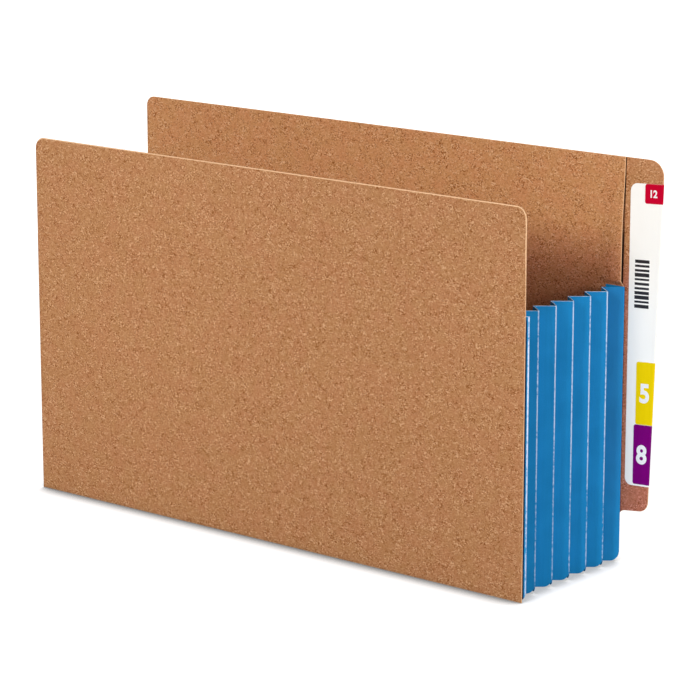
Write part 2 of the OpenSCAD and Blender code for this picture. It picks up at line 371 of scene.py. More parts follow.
def makeGussetPaper(name, look):
    material, tree, shader = newMaterial(name)
    point = attribute(tree, "sheetPoint", "Vector")
    distance = attribute(tree, "edgeDistance", "Fac")
    height, sheet = axes(tree, point)[1:]
    grain = placeGroup(tree, paperGrain, {"Point": point, "Tooth": 1 / look["tooth"]})
    clear = ramp(tree, grain["Shade"], *look["blueSpan"])
    colour = mixColour(tree, clear, look["deepBlue"], look["clearBlue"])
    # Painted shade: the blue darkens towards the outward folds
    foldShadeMask = ramp(tree, distance, look["foldShadeWidth"], 0.0, 0.0, look["foldShadeShare"])
    colour = mixColour(tree, foldShadeMask, colour, look["foldShadeBlue"])
    if "lipGapShadow" in look:
        # Painted shadow in the gap between the lip and the front board
        colour = mixColour(tree, ramp(tree, distance, *look["lipGapShadowFrom"]), colour, look["lipGapShadow"])
    else:
        # Painted shade: the right end's last pleat is a little darker and duller towards its top
        rear = equals(tree, sheet, look["rearPleat"] * sheetSteps["fold"])
        rearShade = times(tree, rear, ramp(tree, height, *look["rearShadeUp"]))
        colour = mixColour(tree, rearShade, colour, look["rearShadeBlue"])
    breaks = ramp(tree, height, *look["wornUp"], *look["breaks"])
    paleMask = paleEdgeMask(tree, point, look["rubWidth"], breaks, look["rubFade"])
    share = times(tree, paleMask, ramp(tree, height, *look["wornUp"], *look["rubShare"]))
    colour = mixColour(tree, share, colour, look["rubbed"])
    roughness = ramp(tree, grain["Shade"], *noiseSpan, *look["roughness"])
    finishShader(tree, shader, colour, roughness, grain["Height"], look)
    return material


gussetPaper = makeGussetPaper("gussetPaper", gussetLook)
lipPaper = makeGussetPaper("lipPaper", {
    **gussetLook, "foldShadeShare": 0.0, "rubWidth": 0.5, "rubbed": paint(222, 232, 252),
    "lipGapShadowFrom": (0.7, 1.3), "lipGapShadow": paint(16, 36, 76),
})

# Printed labels: a smooth paper whose ink varies a little, with a paler cut edge
labelLook = {
    "tooth": 0.35, "rimWidth": 0.22, "rimBreaks": 0.3, "rimFade": 0.12, "rimShare": 0.6,
    "smoothest": -0.05, "roughest": 0.07, "relief": 0.012, "specular": 0.06,
}


def makeLabelPaper(name, ink, deepInk, cut, roughness, look=labelLook):
    material, tree, shader = newMaterial(name)
    point = attribute(tree, "sheetPoint", "Vector")
    grain = placeGroup(tree, paperGrain, {"Point": point, "Tooth": 1 / look["tooth"]})
    colour = mixColour(tree, ramp(tree, grain["Shade"], *noiseSpan), ink, deepInk)
    colour = paleRim(tree, point, colour, cut, look)
    limits = (roughness + look["smoothest"], roughness + look["roughest"])
    finishShader(tree, shader, colour, ramp(tree, grain["Shade"], *noiseSpan, *limits), grain["Height"], look)
    return material


labelWhite = makeLabelPaper(
    "labelWhite", paint(255, 253, 247), paint(253, 251, 245), paint(240, 238, 232), 0.55)
labelRed = makeLabelPaper(
    "labelRed", paint(204, 0, 46), paint(192, 0, 42), paint(236, 150, 160), 0.6)
labelYellow = makeLabelPaper(
    "labelYellow", paint(246, 214, 0), paint(238, 206, 0), paint(250, 240, 190), 0.55)
labelPurple = makeLabelPaper(
    "labelPurple", paint(126, 0, 118), paint(116, 0, 110), paint(200, 160, 206), 0.55)

# Ink and paper flecks have no sheet of their own, so they read the piece's own place
inkLook = {"blot": 0.4, "blotSpan": (0.35, 0.7), "blotRough": 0.12}


def makeInk(name, ink, thin, roughness, look=inkLook):
    material, tree, shader = newMaterial(name)
    point = addNode(tree, "ShaderNodeTexCoord").outputs["Object"]
    blot = noiseValue(tree, point, 1 / (look["blot"] * mm), 2.0, 0.6)
    blot = ramp(tree, blot, *look["blotSpan"])
    feed(tree, mixColour(tree, blot, ink, thin), shader["Base Color"])
    feed(tree, ramp(tree, blot, 0.0, 1.0, roughness, roughness + look["blotRough"]), shader["Roughness"])
    return material


inkBlack = makeInk("inkBlack", paint(22, 20, 22), paint(44, 41, 42), 0.4)
inkWhite = makeInk("inkWhite", paint(250, 249, 248), paint(240, 238, 238), 0.5)
foldFlake = makeInk("foldFlake", paint(238, 236, 242), paint(196, 206, 226), 0.8)
print("materials made")


# Mesh helpers
def addObject(name, data):
    thing = bpy.data.objects.new(name, data)
    bpy.context.scene.collection.objects.link(thing)
    return thing


def faceOutward(mesh, merge=0.0):
    solid = bmesh.new()
    solid.from_mesh(mesh)
    if merge:
        bmesh.ops.remove_doubles(solid, verts=solid.verts[:], dist=merge)
    bmesh.ops.recalc_face_normals(solid, faces=solid.faces[:])
    solid.to_mesh(mesh)
    solid.free()


def newPiece(name, points, faces, materials, faceSlots=None):
    mesh = bpy.data.meshes.new(name)
    mesh.from_pydata(points, [], faces)
    for material in materials:
        mesh.materials.append(material)
    if faceSlots:
        mesh.polygons.foreach_set("material_index", faceSlots)
    faceOutward(mesh)
    return addObject(name, mesh)


def layOut(mesh, sheetPoints, edgeDistances):
    # Where each point lies on the flat sheet, and how far from a worn edge or fold
    sheet = mesh.attributes.new("sheetPoint", "FLOAT_VECTOR", "POINT")
    sheet.data.foreach_set("vector", [c for p in sheetPoints for c in p])
    edge = mesh.attributes.new("edgeDistance", "FLOAT", "POINT")
    edge.data.foreach_set("value", edgeDistances)


def bakeModifiers(piece, sharpAngle):
    # Turns what the modifiers make into the piece's own plain mesh
    bpy.context.view_layer.update()
    evaluated = piece.evaluated_get(bpy.context.evaluated_depsgraph_get())
    mesh = bpy.data.meshes.new_from_object(evaluated)
    piece.modifiers.clear()
    old = piece.data
    piece.data = mesh
    bpy.data.meshes.remove(old)
    mesh.name = piece.name
    mesh.polygons.foreach_set("use_smooth", [True] * len(mesh.polygons))
    mesh.set_sharp_from_angle(angle=math.radians(sharpAngle))
    return piece


def place(piece, body, slot, *nodes):
    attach(piece, body)
    if nodes:
        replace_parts(piece, *nodes)
    return piece


def gridFaces(rows, ring, closed):
    # Quads between neighbouring rows of points
    faces = []
    for k in range(rows - 1):
        for j in range(ring if closed else ring - 1):
            low, high, following = k * ring, (k + 1) * ring, (j + 1) % ring
            faces.append([low + j, low + following, high + following, high + j])
    return faces


def roundedOutline(corners, steps=8):
    # Corners are (u, v, radius); each becomes an arc, whether it turns in or out
    outline = []
    for i, (u, v, radius) in enumerate(corners):
        corner = Vector((u, v))
        if radius == 0:
            outline.append(corner)
            continue
        toBefore = (Vector(corners[i - 1][:2]) - corner).normalized()
        toAfter = (Vector(corners[(i + 1) % len(corners)][:2]) - corner).normalized()
        half = toBefore.angle(toAfter) / 2
        centre = corner + (toBefore + toAfter).normalized() * (radius / math.sin(half))
        first = corner + toBefore * (radius / math.tan(half)) - centre
        last = corner + toAfter * (radius / math.tan(half)) - centre
        turn = first.angle_signed(last)
        for k in range(steps + 1):
            angle = -turn * k / steps
            outline.append(centre + Vector((
                first.x * math.cos(angle) - first.y * math.sin(angle),
                first.x * math.sin(angle) + first.y * math.cos(angle),
            )))
    return outline


def segmentPoint(spot, start, end):
    share = geometry.intersect_point_line(spot, start, end)[1]
    return start.lerp(end, min(1.0, max(0.0, share)))


def cutSheet(outline, cell, rim, extraCuts):
    # Flat outline with a narrow ring along its edge, cut into cells
    sheet = bmesh.new()
    sheet.faces.new([sheet.verts.new((p.x, p.y, 0)) for p in outline])
    sheet.normal_update()
    bmesh.ops.inset_region(
        sheet, faces=sheet.faces[:], thickness=rim, use_boundary=True, use_even_offset=True)
    for axis in (0, 1):
        low = min(p[axis] for p in outline)
        high = max(p[axis] for p in outline)
        steps = max(1, round((high - low) / cell))
        cuts = [low + (high - low) * k / steps for k in range(1, steps)] + list(extraCuts[axis])
        normal = Vector((1 - axis, axis, 0))
        for cut in cuts:
            parts = sheet.verts[:] + sheet.edges[:] + sheet.faces[:]
            bmesh.ops.bisect_plane(sheet, geom=parts, dist=1e-7, plane_co=normal * cut, plane_no=normal)
    sheet.verts.index_update()
    return sheet


# Upright boards: the outline stands in XZ, the box gives the front face and the thickness
boardSizes = {"cell": 11, "rim": 1.6, "rounding": 0.16, "roundingSteps": 2, "roundFrom": 60, "sharpFrom": 50}


def makeBoard(name, outline, box, seed, skin, warp, rimPaleness, extraCuts=((), ())):
    faceY, thickness, rim = box[0].y, box[1].y - box[0].y, boardSizes["rim"]
    sheet = cutSheet(outline, boardSizes["cell"] * mm, rim * mm, extraCuts)
    count = len(sheet.verts)
    flat = [(v.co.x, v.co.y) for v in sheet.verts]
    points = [(u, faceY + depth + warp(u, v), v) for depth in (0, thickness) for u, v in flat]
    faces = [[v.index for v in f.verts] for f in sheet.faces]
    skins = faces + [[i + count for i in reversed(f)] for f in faces]
    edges = [[v.index for v in e.verts] for e in sheet.edges if e.is_boundary]
    rims = [[a, b, b + count, a + count] for a, b in edges]
    sheet.free()
    piece = newPiece(name, points, skins + rims, [skin, kraftCut], [0] * len(skins) + [1] * len(rims))
    adjust(piece.modifiers.new("rounding", "BEVEL"), width=boardSizes["rounding"] * mm,
           segments=boardSizes["roundingSteps"], limit_method="ANGLE",
           angle_limit=math.radians(boardSizes["roundFrom"]), material=1, use_clamp_overlap=False)
    bakeModifiers(piece, boardSizes["sharpFrom"])
    segments = list(zip(outline, outline[1:] + outline[:1]))
    sheetPoints, distances = [], []
    for vertex in piece.data.vertices:
        u, v = vertex.co.x, vertex.co.z
        spot = Vector((u, v))
        nearest = min((spot - segmentPoint(spot, a, b)).length for a, b in segments)
        distances.append(min(rim, nearest / mm + rim * (1 - rimPaleness(u, v))))
        side = 0 if vertex.co.y - faceY - warp(u, v) < thickness / 2 else 1
        sheetPoints.append((u / mm, v / mm, seed * sheetSteps["board"] + side * sheetSteps["side"]))
    layOut(piece.data, sheetPoints, distances)
    return piece


def slowWave(u, v, low, high, sizes):
    # Slow waves that die out at the board's ends and foot
    inside = smoothStep(0, sizes["stillEnds"] * mm, min(u - low.x, high.x - u))
    lift = smoothStep(0, sizes["stillFoot"] * mm, v)
    length = sizes["waveLength"] * mm
    wave = noise.noise((u / length, v / length, sizes["waveSlice"]))
    return wave * inside * lift * sizes["waveHeight"] * mm


# Front board: one rigid sheet with a score line, above which the real board drops forward
frontBoardSizes = {
    "cornerRadius": 7, "scoreDepth": 0.14, "scoreWidth": 1.1, "scoreRows": 10, "bendHalf": 0.5,
    "waveHeight": 0.5, "waveLength": 170, "waveSlice": 3.7, "stillEnds": 60, "stillFoot": 80,
    "flapWidth": 12.7, "flapPress": 0.08, "flapStep": 1.2,
    "edgeWear": 0.3, "paleBand": 9, "paleFrom": 120, "paleTo": 205,
}


def makeFrontBoard(sizes):
    score = jointPoint("drop_front_fold")
    flapWidth, flapStep = sizes["flapWidth"] * mm, sizes["flapStep"] * mm
    flapEdges = (jointPoint("left_fold_0").x + flapWidth, jointPoint("right_fold_0").x - flapWidth)
    radius = sizes["cornerRadius"] * mm
    outline = roundedOutline([
        (frontLow.x, frontLow.z, 0), (frontHigh.x, frontLow.z, 0),
        (dropHigh.x, dropHigh.z, radius), (dropLow.x, dropHigh.z, radius),
    ])

    def warp(u, v):
        # The score line's groove, and the marks of the flaps glued behind
        groove = math.exp(-((v - score.z) / (sizes["scoreWidth"] * mm / 2)) ** 2) * sizes["scoreDepth"] * mm
        press = 0.0
        if v < score.z:
            past = max(flapEdges[0] - u, u - flapEdges[1])
            press = smoothStep(-flapStep, flapStep, past) * sizes["flapPress"] * mm
        return slowWave(u, v, frontLow, frontHigh, sizes) + groove - press

    def rimPaleness(u, v):
        # Pale along the top and the upper part of the tab's side: rubbed wear and a painted edge highlight
        band = sizes["paleBand"] * mm
        top = smoothStep(dropHigh.z - band, dropHigh.z - mm, v)
        side = smoothStep(frontHigh.x - band, frontHigh.x - mm, u)
        side *= smoothStep(sizes["paleFrom"] * mm, sizes["paleTo"] * mm, v)
        return max(top, side, sizes["edgeWear"])

    rows = sizes["scoreRows"]
    scoreCuts = [score.z + sizes["scoreWidth"] * mm * k / rows for k in range(-rows, rows + 1)]
    flapCuts = [edge + flapStep * k / 2 for edge in flapEdges for k in (-2, -1, 0, 1, 2)]
    board = makeBoard("frontBoard", outline, (frontLow, frontHigh), boardSeeds["front"], kraftBoard,
                      warp, rimPaleness, (flapCuts, scoreCuts))
    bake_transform(board)
    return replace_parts(board, "front_panel", "drop_front")


makeFrontBoard(frontBoardSizes)

# Back: an inner ply, and an outer ply that runs on as the end tab
backSizes = {
    "cornerRadius": 6, "footRadius": 5.5, "tabFoot": 31.2, "tabFootRise": 2.2, "tabFillet": 5,
    "tabFootRadius": 6.5, "tabTopRadius": 9.5, "edgeWear": 0.3,
    "waveHeight": 0.45, "waveLength": 190, "waveSlice": 9.1, "stillEnds": 60, "stillFoot": 90,
    "curlTop": 0.6, "curlFoot": 2.7, "curlWidth": 26, "curlStart": 3.5, "curlFade": 30,
    "curlColumns": 10, "curlRows": 6,
}
carrierLow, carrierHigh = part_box("carrier_label")
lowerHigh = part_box("lower_colour_label")[1]
tabThickness = tabHigh.y - tabLow.y
labelSheet = (carrierHigh.y - carrierLow.y - tabThickness) / 2
tabSlope = (carrierHigh.x - lowerHigh.x + labelSheet) / (carrierHigh.z - lowerHigh.z)


def tabEdge(z):
    return carrierHigh.x - labelSheet + tabSlope * (z - carrierHigh.z)


def makeBackPly(sizes):
    gussetTop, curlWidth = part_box("right_back_flap")[1].z, sizes["curlWidth"] * mm
    outline = roundedOutline([
        (backLow.x, backLow.z, 0), (backHigh.x, backLow.z, sizes["footRadius"] * mm),
        (plyEdge * mm, backHigh.z, 0), (backLow.x, backHigh.z, sizes["cornerRadius"] * mm),
    ])

    def warp(u, v):
        # The free edge beside the tab stands a little off the outer ply
        near = smoothStep(backHigh.x - curlWidth, backHigh.x, u)
        free = smoothStep(gussetTop, gussetTop + sizes["curlStart"] * mm, v)
        share = smoothStep(gussetTop + sizes["curlFade"] * mm, backHigh.z, v)
        curl = sizes["curlFoot"] + (sizes["curlTop"] - sizes["curlFoot"]) * share
        return slowWave(u, v, backLow, backHigh, sizes) - near * near * free * curl * mm

    columns, rows = sizes["curlColumns"], sizes["curlRows"]
    curlCuts = [backHigh.x - curlWidth * k / columns for k in range(1, columns + 1)]
    startCuts = [gussetTop + sizes["curlStart"] * mm * k / rows for k in range(rows + 1)]
    ply = makeBoard("backPly", outline, (backLow, backHigh), boardSeeds["back"], kraftInnerBrightened,
                    warp, lambda u, v: sizes["edgeWear"], (curlCuts, startCuts))
    return place(ply, "back", "kraft", "back_panel")


def makeTabPly(sizes):
    foot = sizes["tabFoot"] * mm
    footEnd = foot + sizes["tabFootRise"] * mm
    outline = roundedOutline([
        (tabLow.x, tabLow.z, 0), (backHigh.x, tabLow.z, sizes["footRadius"] * mm),
        (backHigh.x, foot, sizes["tabFillet"] * mm),
        (tabEdge(footEnd), footEnd, sizes["tabFootRadius"] * mm),
        (tabEdge(tabHigh.z), tabHigh.z, sizes["tabTopRadius"] * mm),
        (tabLow.x, tabHigh.z, sizes["cornerRadius"] * mm),
    ])
    ply = makeBoard("tabPly", outline, (tabLow, tabHigh), boardSeeds["tab"], kraftTab,
                    lambda u, v: slowWave(u, v, backLow, backHigh, sizes), lambda u, v: sizes["edgeWear"])
    return place(ply, "back", "kraft", "tab_panel")


makeBackPly(backSizes)
makeTabPly(backSizes)
print("boards made")

# Folded faces: gusset pleats, glued flaps and the bottom's leaves, each with a round along a fold
foldSizes = {
    "gap": 0.012, "skinSteps": 8, "skinClear": 0.05, "cornerSteps": 8, "arcSteps": 10,
    "topRow": 0.6, "topFade": 1.35, "unworn": 50.0, "sharpFrom": 55,
}


def faceFrame(start, end, thickness, towards):
    # Directions along and through a face whose fold lines are on opposite faces of the sheet
    span = end - start
    width = math.sqrt(span.length_squared - thickness ** 2)
    along = span.normalized()
    across = (towards - along * towards.dot(along)).normalized()
    direction = (along * width - across * thickness) / span.length
    through = (along * thickness + across * width) / span.length
    return direction, through, width


def sheetPlace(start, direction, through, lengthways=Vector((0, 0, 1))):
    return lambda u, w, s: start + direction * u + through * w + lengthways * s


def skinStations(face, sizes):
    # Places along the face, closer together where the foot's corner is rounded
    width, corner = face["width"], face.get("corner", 0.0)
    steps, cornerSteps = sizes["skinSteps"], sizes["cornerSteps"]
    if corner == 0:
        return [width * k / steps for k in range(steps + 1)]
    stations = [(width - corner) * k / steps for k in range(steps)]
    turns = [math.pi / 2 * k / cornerSteps for k in range(cornerSteps + 1)]
    stations += [width - corner + corner * math.sin(turn) for turn in turns]
    return stations if face.get("cornerAtEnd", True) else [width - s for s in reversed(stations)]


def arcPoints(centre, radius, first, last, steps):
    # Points between an arc's two ends
    turns = [first + (last - first) * k / steps for k in range(1, steps)]
    return [(centre[0] + radius * math.cos(turn), centre[1] + radius * math.sin(turn)) for turn in turns]


def foldProfile(face, sizes):
    # Outline in (u, w): the start fold lies at (0, 0), the end fold at (width, thickness)
    width, thickness, steps = face["width"], face["thickness"], sizes["arcSteps"]
    cutRadius = thickness + sizes["gap"] * mm
    cutBack = math.sqrt(cutRadius ** 2 - thickness ** 2)
    cutTurn = math.asin(thickness / cutRadius)
    startFold, endFold = (0.0, 0.0), (width, thickness)
    lower, upper = [0.0, width], [0.0, width]
    startArc, endArc = [], []
    if face["start"] == "cut":
        lower[0], upper[0] = cutRadius, cutBack
        startArc = arcPoints(startFold, cutRadius, cutTurn, 0.0, steps)
    if face["start"] == "round":
        radius = face["startRadius"]
        lower[0] = radius
        startArc = [(0.0, radius)] + arcPoints(startFold, radius, math.pi / 2, 2 * math.pi, steps)
    if face["end"] == "cut":
        lower[1], upper[1] = width - cutBack, width - cutRadius
        endArc = arcPoints(endFold, cutRadius, math.pi + cutTurn, math.pi, steps)
    if face["end"] == "round":
        upper[1] = width - thickness
        endArc = arcPoints(endFold, thickness, -math.pi / 2, math.pi, steps)
    stations, clear = skinStations(face, sizes)[1:-1], sizes["skinClear"] * mm

    def skin(first, last, w):
        return [(u, w) for u in [first, *[s for s in stations if first + clear < s < last - clear], last]]

    return skin(*lower, 0.0) + endArc + skin(*upper, thickness)[::-1] + startArc


def makeFoldedFace(name, toWorld, face, material, seed, sizes=foldSizes):
    width, low, high, rows = face["width"], face["low"], face["high"], face["rows"]
    corner, cornerAtEnd = face.get("corner", 0.0), face.get("cornerAtEnd", True)
    bulge = face.get("bulge", lambda u, s: 0.0)
    profile = foldProfile(face, sizes)

    def footLift(u):
        into = (u - (width - corner)) if cornerAtEnd else (corner - u)
        into = min(corner, max(0.0, into))
        return corner - math.sqrt(max(0.0, corner ** 2 - into ** 2))

    def wearDistance(u, s):
        # Millimetres to the worn outward fold or to the sheet's top edge
        if not face.get("outward"):
            return sizes["unworn"]
        return min(max(0.0, (width - u) if cornerAtEnd else u), (high - s) * sizes["topFade"]) / mm

    points, sheetPoints, distances = [], [], []
    shares = [k / rows for k in range(rows)] + [1 - sizes["topRow"] * mm / (high - low), 1.0]
    for share in shares:
        for u, w in profile:
            inFace = min(width, max(0.0, u))
            foot = low + footLift(inFace)
            s = foot + (high - foot) * share
            points.append(toWorld(u, w + bulge(inFace, s), s))
            sheetPoints.append((u / mm, s / mm, seed * sheetSteps["fold"] + w / mm))
            distances.append(wearDistance(u, s))
    ring, lastRow = len(profile), len(shares) - 1
    faces = gridFaces(len(shares), ring, True)
    faces += [list(range(ring))[::-1], [lastRow * ring + j for j in range(ring)]]
    piece = newPiece(name, points, faces, [material])
    layOut(piece.data, sheetPoints, distances)
    adjust(piece.modifiers.new("ends", "TRIANGULATE"), min_vertices=5)  # leaves the quads whole
    return bakeModifiers(piece, sizes["sharpFrom"])


# Gussets: twelve faces at each end between two glued flaps
gussetSizes = {
    "faces": 12, "corner": 5, "flapWidth": 12.7, "rows": 28, "wornFolds": (0, 2, 4, 6, 8, 10),
    "bulge": 0.22, "bulgeLength": 60, "bulgeLeast": 0.65, "bulgeSway": 0.5, "flatPleats": 3,
    "swayApart": 1.7, "swaySlice": 0.4, "pleatSeeds": {"right": 0, "left": 20},
    "flapSeeds": {"rightFront": 90, "rightBack": 83, "leftFront": 89, "leftBack": 82},
}
pleatLow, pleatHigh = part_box("right_back_flap")
gussetSheet = pleatHigh.y - jointPoint("right_fold_12").y
gussetFace = {
    "thickness": gussetSheet, "low": pleatLow.z, "high": pleatHigh.z,
    "rows": gussetSizes["rows"], "corner": gussetSizes["corner"] * mm,
}


def foldPoint(side, index):
    # The middle fold has no joint of its own and lies midway between its neighbours
    middle = gussetSizes["faces"] // 2
    if index == middle:
        point = (jointPoint(f"{side}_fold_{middle - 2}") + jointPoint(f"{side}_fold_{middle + 2}")) / 2
    else:
        point = jointPoint(f"{side}_fold_{index}")
    return Vector((point.x, point.y, 0))


def makePleat(side, index, sizes):
    start, end = foldPoint(side, index - 1), foldPoint(side, index)
    direction, through, width = faceFrame(start, end, gussetSheet, Vector((0, 1, 0)))
    endsOutward = index % 2 == 0
    outwardFold = index if endsOutward else index - 1
    seed = index + sizes["pleatSeeds"][side]
    # The last pleats lie flatter, because the glued flap behind them is flat
    swell = sizes["bulge"] * min(1.0, (sizes["faces"] - index) / sizes["flatPleats"]) * mm

    def bulge(u, s):
        sway = noise.noise((s / (sizes["bulgeLength"] * mm), seed * sizes["swayApart"], sizes["swaySlice"]))
        return math.sin(math.pi * u / width) ** 2 * swell * (sizes["bulgeLeast"] + sizes["bulgeSway"] * sway)

    node = f"{side}_pleat_{index}"
    piece = makeFoldedFace(f"{side}Pleat{index:02d}", sheetPlace(start, direction, through), {
        **gussetFace, "width": width, "start": "cut", "end": "cut" if index == sizes["faces"] else "round",
        "cornerAtEnd": endsOutward, "outward": outwardFold in sizes["wornFolds"], "bulge": bulge,
    }, gussetPaper, seed)
    return place(piece, node, "gusset", node)


def makeFlap(side, end, sizes):
    fold = foldPoint(side, 0 if end == "front" else sizes["faces"])
    outward = Vector((1 if side == "right" else -1, 0, 0))
    through = Vector((0, 1 if end == "front" else -1, 0))
    width = sizes["flapWidth"] * mm
    start = fold - outward * width - through * gussetSheet
    label = side + end.capitalize()
    piece = makeFoldedFace(label + "Flap", sheetPlace(start, outward, through), {
        **gussetFace, "width": width, "start": "plain", "end": "round", "outward": end == "front",
    }, gussetPaper, sizes["flapSeeds"][label])
    return place(piece, end, "gusset", f"{side}_{end}_flap")


# The first fold's doubled paper stands out past the front board's right edge
lipSizes = {"past": 1.35, "standOff": 0.9, "sheet": 0.75, "clear": 0.02, "seed": 61}


def makeFoldLip(sizes):
    fold = foldPoint("right", 0)
    start = Vector((fold.x, frontHigh.y + sizes["clear"] * mm, 0))
    run = Vector((frontHigh.x + sizes["past"] * mm - fold.x, sizes["standOff"] * mm, 0))
    through = Vector((-run.y, run.x, 0)).normalized()
    piece = makeFoldedFace("rightFrontLip", sheetPlace(start, run.normalized(), through), {
        **gussetFace, "width": run.length, "thickness": gussetSheet * sizes["sheet"],
        "start": "plain", "end": "round", "outward": True,
    }, lipPaper, sizes["seed"])
    return place(piece, "front", "gusset")


for side in ("right", "left"):
    for index in range(1, gussetSizes["faces"] + 1):
        makePleat(side, index, gussetSizes)
    for end in ("front", "back"):
        makeFlap(side, end, gussetSizes)
makeFoldLip(lipSizes)
print("gussets made")

# Bottom: two leaves that meet in a crease above the floor
bottomSizes = {
    "rows": 40, "edgeRadius": 0.35, "sag": 0.5, "sagLeast": 0.7, "sagAlong": 110, "sagAcross": 70, "seed": 71,
}


def makeLeaf(name, body, hinge, end, sagSlice, sizes):
    start, crease = jointPoint(hinge), jointPoint("bottom_crease")
    start.x = crease.x = 0
    direction, through, width = faceFrame(start, crease, boardThickness, Vector((0, 0, -1)))
    node = body + "_leaf"
    low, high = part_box(node)

    def bulge(u, s):
        sway = noise.noise((s / (sizes["sagAlong"] * mm), u / (sizes["sagAcross"] * mm), sagSlice))
        return math.sin(math.pi * u / width) ** 2 * sizes["sag"] * mm * (sizes["sagLeast"] + sway)

    toWorld = sheetPlace(start, direction, through, Vector((1, 0, 0)))
    piece = makeFoldedFace(name, toWorld, {
        "width": width, "thickness": boardThickness, "low": low.x, "high": high.x, "rows": sizes["rows"],
        "start": "round", "startRadius": sizes["edgeRadius"] * mm, "end": end, "bulge": bulge,
    }, kraftBoard, sizes["seed"])
    return place(piece, body, "kraft", node)


makeLeaf("bottomRearLeaf", "bottom_rear", "expansion", "round", 4.2, bottomSizes)
makeLeaf("bottomFrontLeaf", "bottom_front", "front_bottom_fold", "cut", 8.6, bottomSizes)
print("bottom made")

# Labels folded round the tab's edge
labelSizes = {
    "columns": 14, "rows": 40, "bendSteps": 8, "cornerSteps": 6, "rimStep": 0.3, "bendStep": 0.2,
    "carrierCorner": 4.5, "colourCorner": 1.5, "tilt": 3.4, "sheetShare": 0.96, "sharpFrom": 50,
}
labelTilt = math.radians(labelSizes["tilt"])


def tiltRise(x):
    # The labels' ends climb a little towards the tab's edge
    return math.tan(labelTilt) * (x - carrierLow.x)


def makeLabel(name, node, corner, layer, material, seed, sizes):
    low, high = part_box(node)
    faceFront, faceBack = tabLow.y - layer * labelSheet, tabHigh.y + layer * labelSheet
    bendRadius, middleY = (faceBack - faceFront) / 2, (faceFront + faceBack) / 2
    radius, columns, rows = corner * mm, sizes["columns"], sizes["rows"]
    foot = low.z - tiltRise(low.x) - radius * (math.tan(labelTilt) + 1 / math.cos(labelTilt) - 1)
    top = high.z - tiltRise(high.x)
    cornerTurns = [math.pi / 2 * k / sizes["cornerSteps"] for k in range(sizes["cornerSteps"] + 1)]
    bendTurns = [math.pi * k / sizes["bendSteps"] for k in range(sizes["bendSteps"] + 1)]
    rises = [radius * (1 - math.cos(turn)) for turn in cornerTurns]
    heights = [foot + rise for rise in rises]
    heights += [foot + radius + (top - foot - 2 * radius) * k / rows for k in range(1, rows)]
    heights += [top - rise for rise in reversed(rises)]
    points, sheetPoints, distances = [], [], []
    for z in heights:
        into = max(0.0, radius - min(z - foot, top - z))
        left = low.x + radius - math.sqrt(max(0.0, radius ** 2 - into ** 2))
        edge = tabEdge(z + tiltRise(high.x)) + layer * labelSheet - bendRadius
        stations = [left, left + sizes["rimStep"] * mm]
        stations += [left + (edge - left) * k / columns for k in range(1, columns)]
        stations.append(edge - sizes["bendStep"] * mm)
        row = [(x, faceFront) for x in stations]
        for turn in bendTurns:
            row.append((edge + bendRadius * math.sin(turn), middleY - bendRadius * math.cos(turn)))
        row += [(x, faceBack) for x in reversed(stations)]
        travelled = 0.0
        for j, (x, y) in enumerate(row):
            if j:
                travelled += math.hypot(x - row[j - 1][0], y - row[j - 1][1])
            points.append((x, y, z + tiltRise(x)))
            sheetPoints.append((travelled / mm + left / mm, z / mm, seed * sheetSteps["label"]))
            distances.append(min(x - left, z - foot, top - z) / mm)
    piece = newPiece(name, points, gridFaces(len(heights), len(row), False), [material])
    layOut(piece.data, sheetPoints, distances)
    wall = labelSheet * sizes["sheetShare"]
    adjust(piece.modifiers.new("wall", "SOLIDIFY"), thickness=wall, offset=-1)
    return place(bakeModifiers(piece, sizes["sharpFrom"]), "back", node, node)


makeLabel("carrierLabel", "carrier_label", labelSizes["carrierCorner"], 1, labelWhite, 1, labelSizes)
colourLabels = [
    ("periodLabel", "period_label", labelRed, 2),
    ("upperColourLabel", "upper_colour_label", labelYellow, 3),
    ("lowerColourLabel", "lower_colour_label", labelPurple, 4),
]
for name, node, material, seed in colourLabels:
    makeLabel(name, node, labelSizes["colourCorner"], 2, material, seed, labelSizes)
print("labels made")


# Geometry node helpers
def grow(tree, kind, inputs):
    return addNode(tree, "GeometryNode" + kind, inputs).outputs[0]


def randomFloat(tree, low, high, seed):
    inputs = {2: low, 3: high, "Seed": seed}
    return addNode(tree, "FunctionNodeRandomValue", inputs, data_type="FLOAT").outputs[1]


def combine(tree, x, y, z):
    return addNode(tree, "ShaderNodeCombineXYZ", {0: x, 1: y, 2: z}).outputs[0]


def uprightLine(tree, count, foot, pitch):
    return grow(tree, "MeshLine", {
        "Count": count, "Start Location": foot, "Offset": combine(tree, 0.0, 0.0, pitch),
    })


def finishTree(tree, instances, material, result):
    real = grow(tree, "RealizeInstances", {"Geometry": instances})
    feed(tree, grow(tree, "SetMaterial", {"Geometry": real, "Material": material}), result[0])
    return tree


def growPiece(name, tree, values, sharpFrom=40):
    # Runs a tree with its own values and keeps the result as a plain mesh
    piece = addObject(name, bpy.data.meshes.new(name))
    modifier = piece.modifiers.new(tree.name, "NODES")
    modifier.node_group = tree
    for socket in tree.interface.items_tree:
        if socket.in_out == "INPUT":
            modifier[socket.identifier] = values[socket.name]
    return bakeModifiers(piece, sharpFrom)


# Flakes of paper along the upright folds, where these are rubbed through
flakeSizes = {
    "perMillimetre": 0.55, "length": 3.2, "width": 0.16, "shareKept": 0.5, "endGap": 1, "sunk": 0.93,
    "drift": 0.5, "shortest": 0.25, "thinnest": 0.5, "seed": 40, "seedStep": 7,
}


